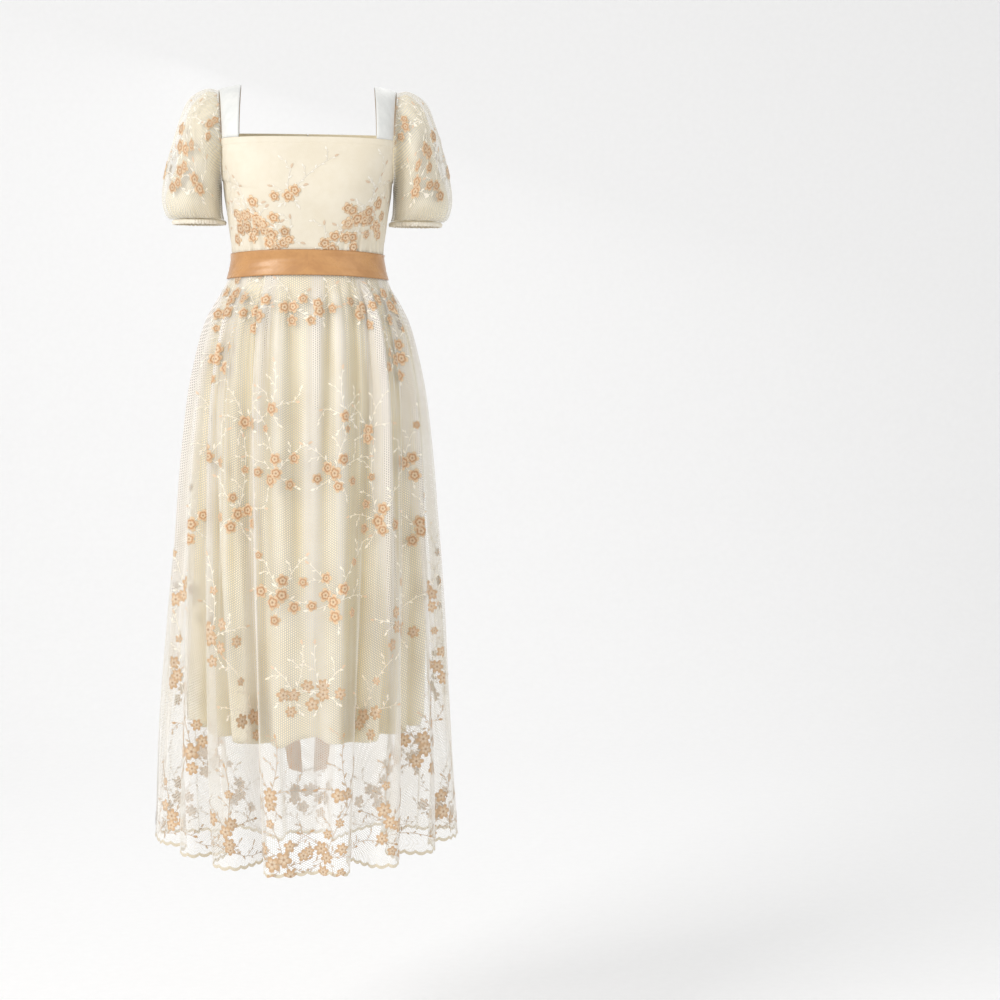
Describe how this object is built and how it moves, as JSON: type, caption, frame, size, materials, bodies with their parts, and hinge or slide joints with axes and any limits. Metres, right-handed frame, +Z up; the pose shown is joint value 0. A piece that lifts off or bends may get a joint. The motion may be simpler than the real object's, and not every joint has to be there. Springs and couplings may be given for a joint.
{
  "type": "regency gown",
  "caption": "Long high-waisted gown in worn, hollow form: square neck, puff sleeves, ribbon sash tied in a bow behind, and a sheer embroidered overskirt over a shorter lining.",
  "frame": {"origin": "midway between the two shoulder straps, level with their tops, where the wearer's shoulders hold the gown up", "axes": "+Z up along the gown's length, the front of the gown faces -Y, the wearer's left is +X"},
  "size_m": [0.4837, 0.4577, 1.2396],
  "materials": {
    "lined_tulle": "cream lining under embroidered net, matt",
    "tulle": "sheer ivory net with raised floral embroidery",
    "cream_lining": "smooth cream lining, soft sheen",
    "white_satin": "white satin",
    "caramel_satin": "caramel satin ribbon",
    "zip_tape": "woven zip tape",
    "dark_metal": "dark burnished slider",
    "white_pull": "white enamelled pull tab"
  },
  "bodies": {
    "gown": {"bodice_front": "lined_tulle", "bodice_back_left": "lined_tulle", "bodice_back_right": "lined_tulle", "strap_left": "white_satin", "strap_right": "white_satin", "sleeve_left": "tulle", "sleeve_right": "tulle", "sleeve_lining_left": "cream_lining", "sleeve_lining_right": "cream_lining", "cuff_left": "tulle", "cuff_right": "tulle", "skirt_front": "tulle", "skirt_back": "tulle", "underskirt_front": "cream_lining", "underskirt_back": "cream_lining", "sash_band": "caramel_satin", "sash_knot": "caramel_satin", "sash_loop_left": "caramel_satin", "sash_loop_right": "caramel_satin", "sash_tail_left": "caramel_satin", "sash_tail_right": "caramel_satin", "zip_tape": "zip_tape", "zip_slider": "dark_metal"},
    "zip_pull_tab": {"zip_pull": "white_pull"}
  },
  "joints": [
    {"name": "zip_pull_swing", "type": "hinge", "parent": "gown", "child": "zip_pull_tab", "pos_m": [0, 0.1097, -0.072], "axis": [1, 0, 0], "range_deg": [0, 150]}
  ]
}
